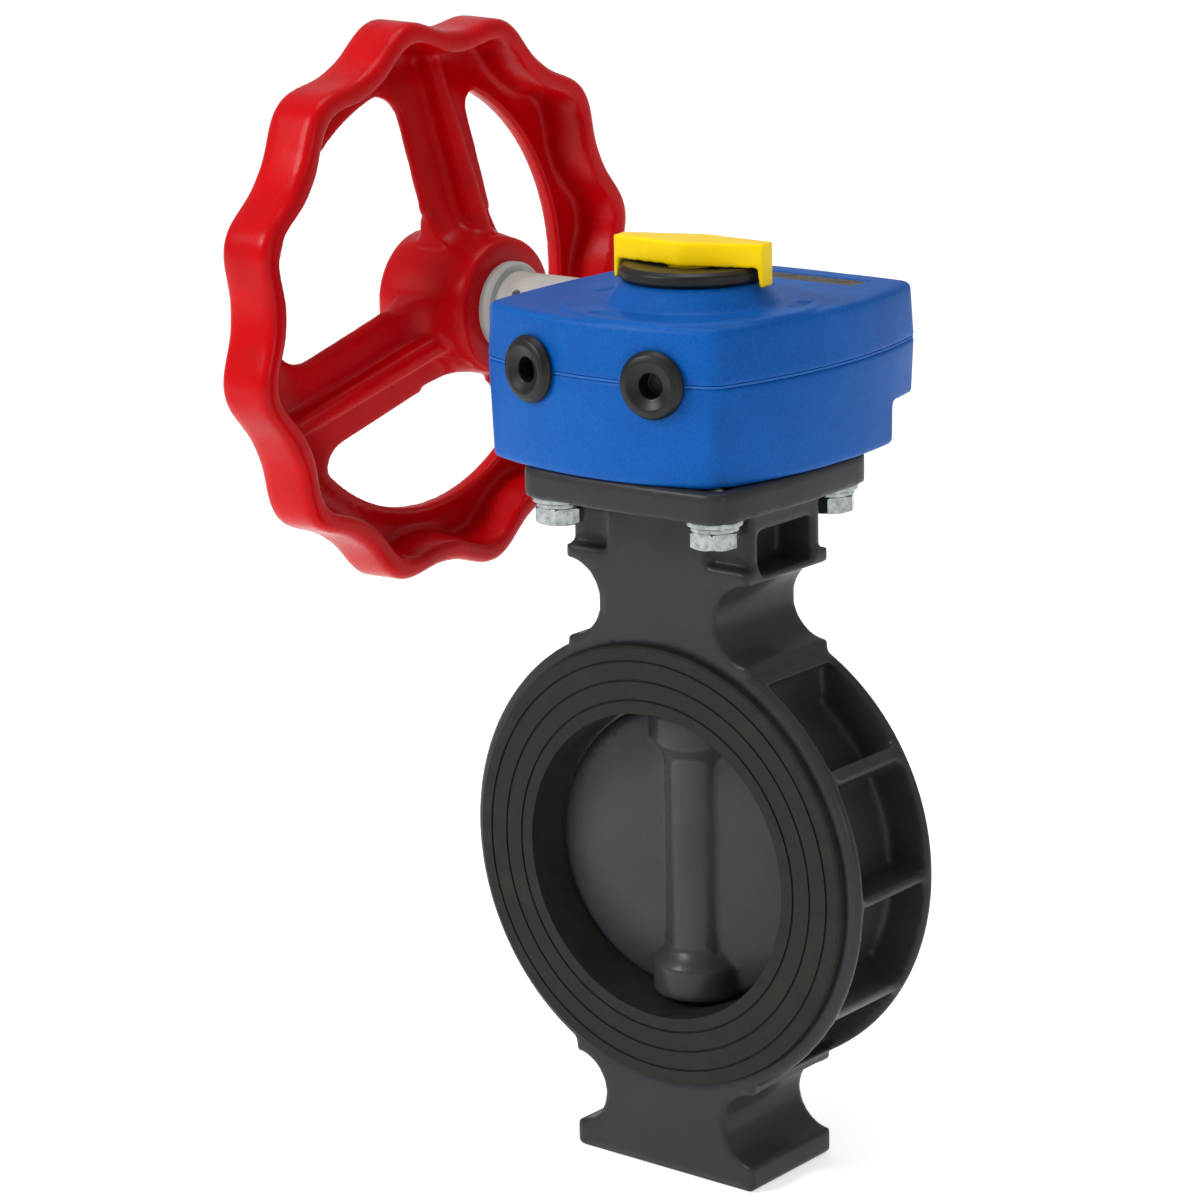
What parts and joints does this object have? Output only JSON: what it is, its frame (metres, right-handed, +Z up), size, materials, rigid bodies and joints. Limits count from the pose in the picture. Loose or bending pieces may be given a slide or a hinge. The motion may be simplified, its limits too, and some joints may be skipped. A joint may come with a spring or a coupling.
{
  "type": "gear operated wafer butterfly valve",
  "caption": "Wafer butterfly valve with rubber liner, disc 9 degrees open, worm gear operator, pointer on a dial and a lobed handwheel on a side shaft.",
  "frame": {"origin": "where the stem axis meets the pipe axis, in the middle of the bore", "axes": "+Z up the stem towards the gear operator, the pipe axis along Y with the face seen in the picture at -Y, the handwheel at -X"},
  "size_m": [0.2867, 0.23, 0.4255],
  "materials": {
    "body_plastic": "satin dark grey rigid plastic",
    "rubber": "matt black rubber",
    "housing_paint": "fine textured blue paint on cast metal",
    "wheel_plastic": "glossy red moulded plastic",
    "pointer_plastic": "glossy yellow moulded plastic",
    "sleeve_plastic": "satin light grey plastic",
    "cap_plastic": "satin black plastic",
    "zinc_steel": "bright zinc plated steel",
    "stem_steel": "ground steel",
    "bearing_bronze": "plain bronze",
    "gear_iron": "machined cast iron",
    "seam_seal": "thin flat gasket",
    "plate_metal": "blank satin plate"
  },
  "bodies": {
    "valve": {"valve_body": "body_plastic", "seat_liner": "rubber", "upper_bushing": "bearing_bronze", "gland_bushing": "bearing_bronze", "lower_bushing": "bearing_bronze", "snap_ring": "zinc_steel", "stem_seal_1": "rubber", "stem_seal_2": "rubber", "gearbox_base": "housing_paint", "gearbox_cover": "housing_paint", "housing_gasket": "seam_seal", "nameplate": "plate_metal", "gear_bushing_lower": "bearing_bronze", "gear_bushing_upper": "bearing_bronze", "shaft_seal": "rubber", "guard_ring": "rubber", "flange_bolt_front_left": "zinc_steel", "flat_washer_front_left": "zinc_steel", "spring_washer_front_left": "zinc_steel", "flange_bolt_front_right": "zinc_steel", "flat_washer_front_right": "zinc_steel", "spring_washer_front_right": "zinc_steel", "flange_bolt_back_left": "zinc_steel", "flat_washer_back_left": "zinc_steel", "spring_washer_back_left": "zinc_steel", "flange_bolt_back_right": "zinc_steel", "flat_washer_back_right": "zinc_steel", "spring_washer_back_right": "zinc_steel", "cover_screw_1": "zinc_steel", "cover_screw_2": "zinc_steel", "cover_screw_3": "zinc_steel", "cover_screw_4": "zinc_steel", "grommet_left": "rubber", "stop_screw_open": "zinc_steel", "stop_nut_open": "zinc_steel", "worm_bush_left": "bearing_bronze", "grommet_right": "rubber", "stop_screw_closed": "zinc_steel", "stop_nut_closed": "zinc_steel", "worm_bush_right": "bearing_bronze"},
    "stem_group": {"disc": "body_plastic", "stem": "stem_steel", "drive_bush": "stem_steel", "worm_wheel": "gear_iron", "position_indicator": "pointer_plastic"},
    "wheel_group": {"worm_shaft": "stem_steel", "worm": "stem_steel", "worm_pin": "zinc_steel", "thrust_washer_left": "bearing_bronze", "thrust_washer_right": "bearing_bronze", "shaft_sleeve": "sleeve_plastic", "sleeve_set_screw": "zinc_steel", "handwheel": "wheel_plastic", "wheel_washer": "zinc_steel", "wheel_screw": "zinc_steel", "hub_cap": "cap_plastic"}
  },
  "joints": [
    {"name": "handwheel_turn", "type": "hinge", "parent": "valve", "child": "wheel_group", "pos_m": [0, 0.0574, 0.188], "axis": [-1, 0, 0], "range_deg": [-360, 3240]},
    {"name": "stem_turn", "type": "hinge", "parent": "valve", "child": "stem_group", "pos_m": [0, 0, 0], "axis": [0, 0, 1], "range_deg": [-9, 81]}
  ],
  "couplings": [
    {"joint": "stem_turn", "follows": "handwheel_turn", "ratio": 0.025}
  ]
}
